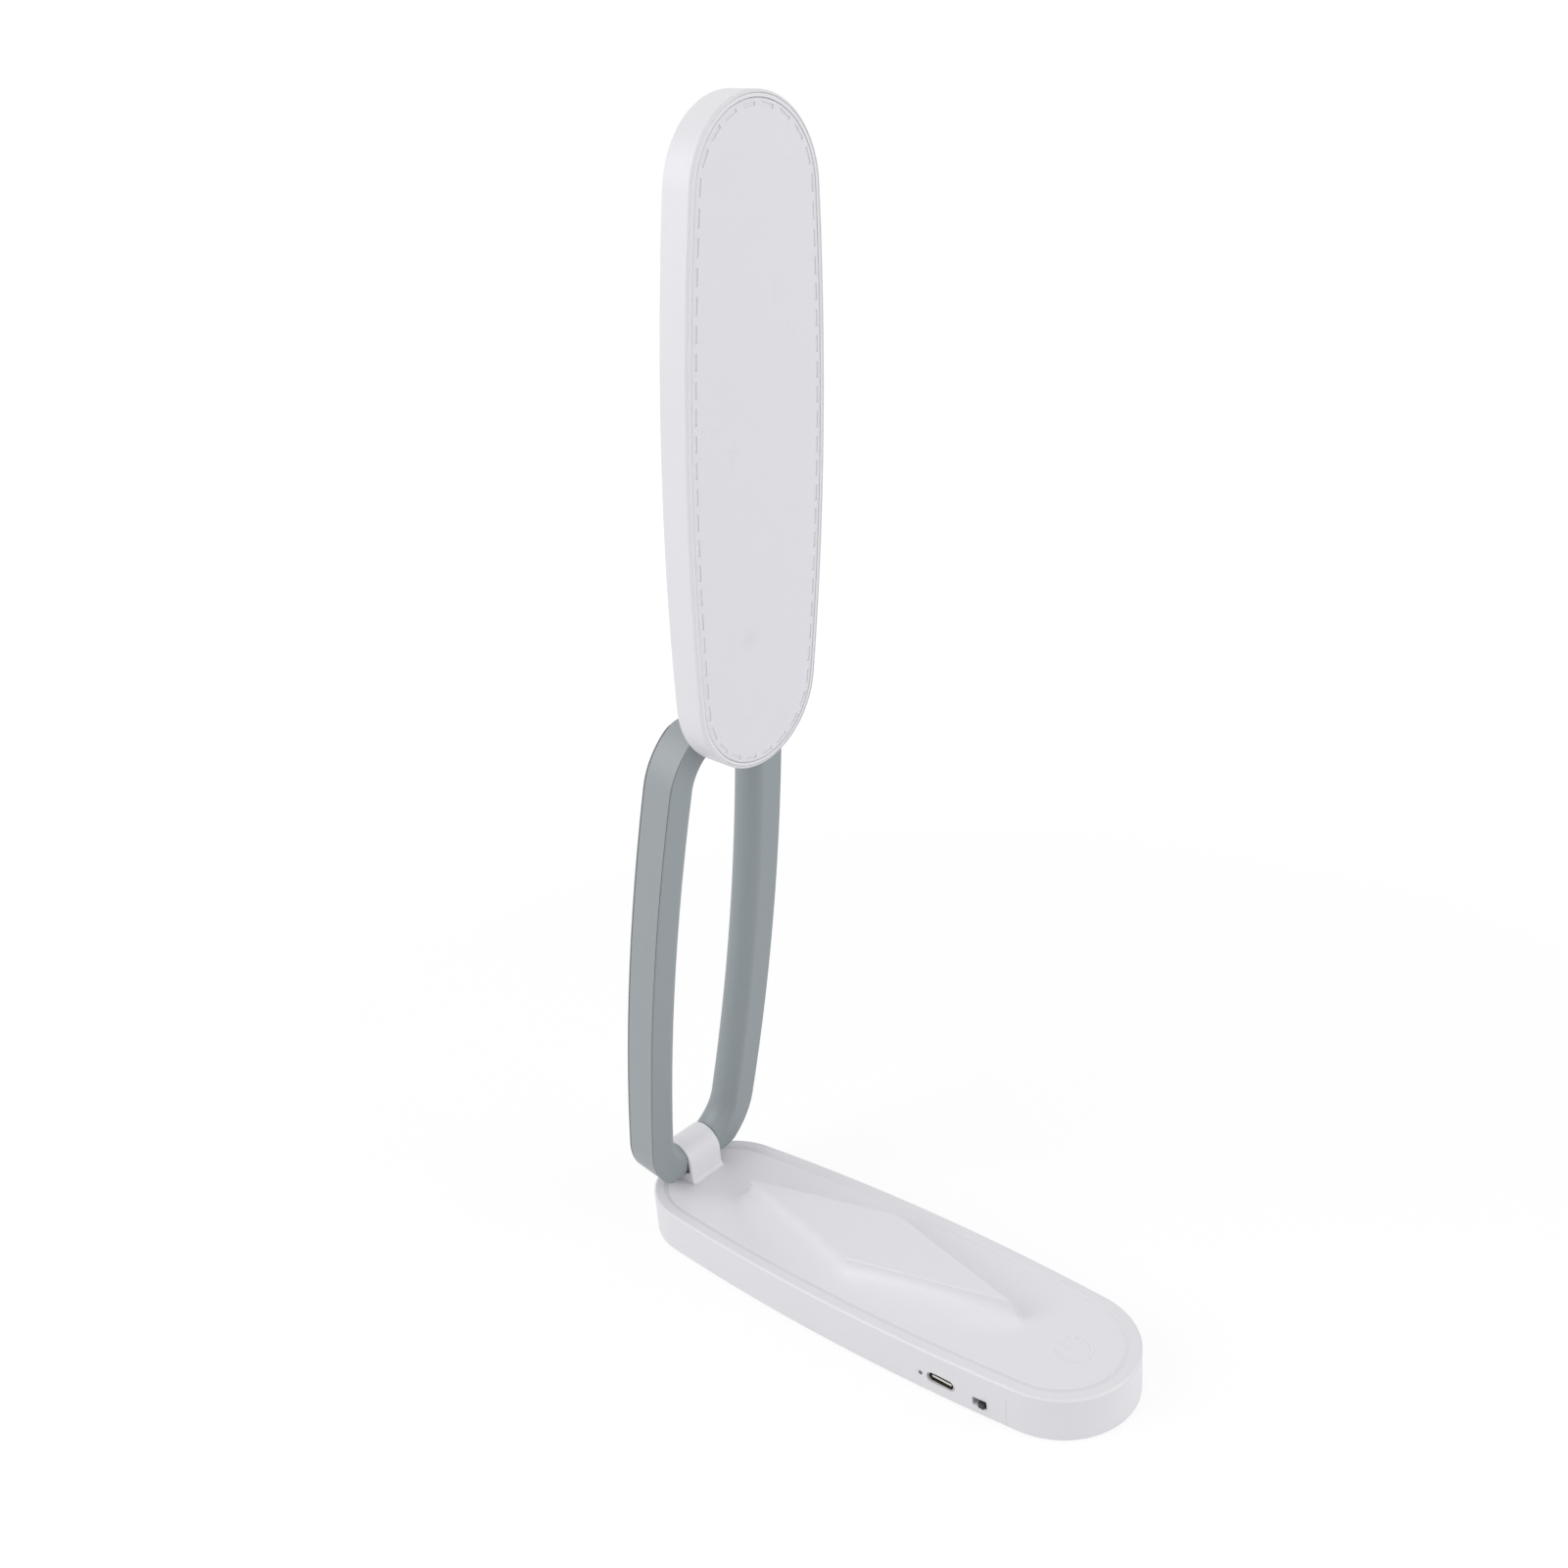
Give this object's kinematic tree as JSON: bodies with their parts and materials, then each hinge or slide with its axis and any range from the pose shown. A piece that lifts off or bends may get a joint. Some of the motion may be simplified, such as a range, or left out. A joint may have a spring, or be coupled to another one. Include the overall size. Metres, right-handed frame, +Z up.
{
  "type": "folding led desk lamp",
  "caption": "Folding desk lamp: oval weighted base with a diamond plateau and touch key, open grey loop arm on a friction hinge, oval light panel on a second friction hinge.",
  "frame": {"origin": "centre of the base on the surface that it stands on", "axes": "+Z up, +X from the hinge end of the base to its touch key end, the light shines to +X; the socket and the switch are on the -Y side"},
  "size_m": [0.175, 0.0532, 0.3435],
  "materials": {
    "white_shell": "fine satin moulded",
    "white_panel": "fine satin moulded",
    "grey_arm": "soft satin",
    "grey_band": "soft satin",
    "milk_diffuser": "frosted",
    "clear_plastic": "polished",
    "white_film": "matt film",
    "spring_steel": "rolled",
    "plain_steel": "zinc plated",
    "socket_metal": "nickel plated",
    "black_plastic": "satin",
    "circuit_board": "solder mask",
    "battery_foil": "foil pouch",
    "copper_pad": "tinned foil",
    "rubber_pad": "matt",
    "lead_sheath": "matt",
    "led_package": "moulded"
  },
  "bodies": {
    "base": {"base_shell": "white_shell", "base_top_panel": "white_panel", "base_bottom_cover": "white_shell", "base_screws": "plain_steel", "rubber_feet": "rubber_pad", "base_hinge_saddle": "white_shell", "base_friction_clip": "spring_steel", "base_clip_screw": "plain_steel", "touch_mark": "white_panel", "touch_sensor_pad": "copper_pad", "battery_pack": "battery_foil", "ballast_plate": "plain_steel", "control_board": "circuit_board", "charge_light_pipe": "clear_plastic", "usb_c_socket": "socket_metal", "slide_switch_body": "black_plastic"},
    "switch": {"slide_switch_knob": "black_plastic"},
    "arm": {"arm_frame": "grey_arm", "arm_side_bands": "grey_band", "arm_lead": "lead_sheath"},
    "head": {"head_back_shell": "white_shell", "head_front_bezel": "white_shell", "diffuser_panel": "milk_diffuser", "light_guide": "clear_plastic", "reflector_sheet": "white_film", "guide_holder": "white_film", "led_strip": "circuit_board", "led_chips": "led_package", "head_hinge_saddle": "white_shell", "head_friction_clip": "spring_steel", "head_clip_screw": "plain_steel"}
  },
  "joints": [
    {"name": "arm_fold", "type": "hinge", "parent": "base", "child": "arm", "pos_m": [-0.07916, 0, 0.01991], "axis": [0, 1, 0], "range_deg": [-13, 74.2]},
    {"name": "head_tilt", "type": "hinge", "parent": "arm", "child": "head", "pos_m": [-0.04744, 0, 0.17839], "axis": [0, 1, 0], "range_deg": [-173.9, 5.5]},
    {"name": "slide_switch", "type": "slide", "parent": "base", "child": "switch", "axis": [1, 0, 0], "range_m": [-0.0019, 0]}
  ]
}
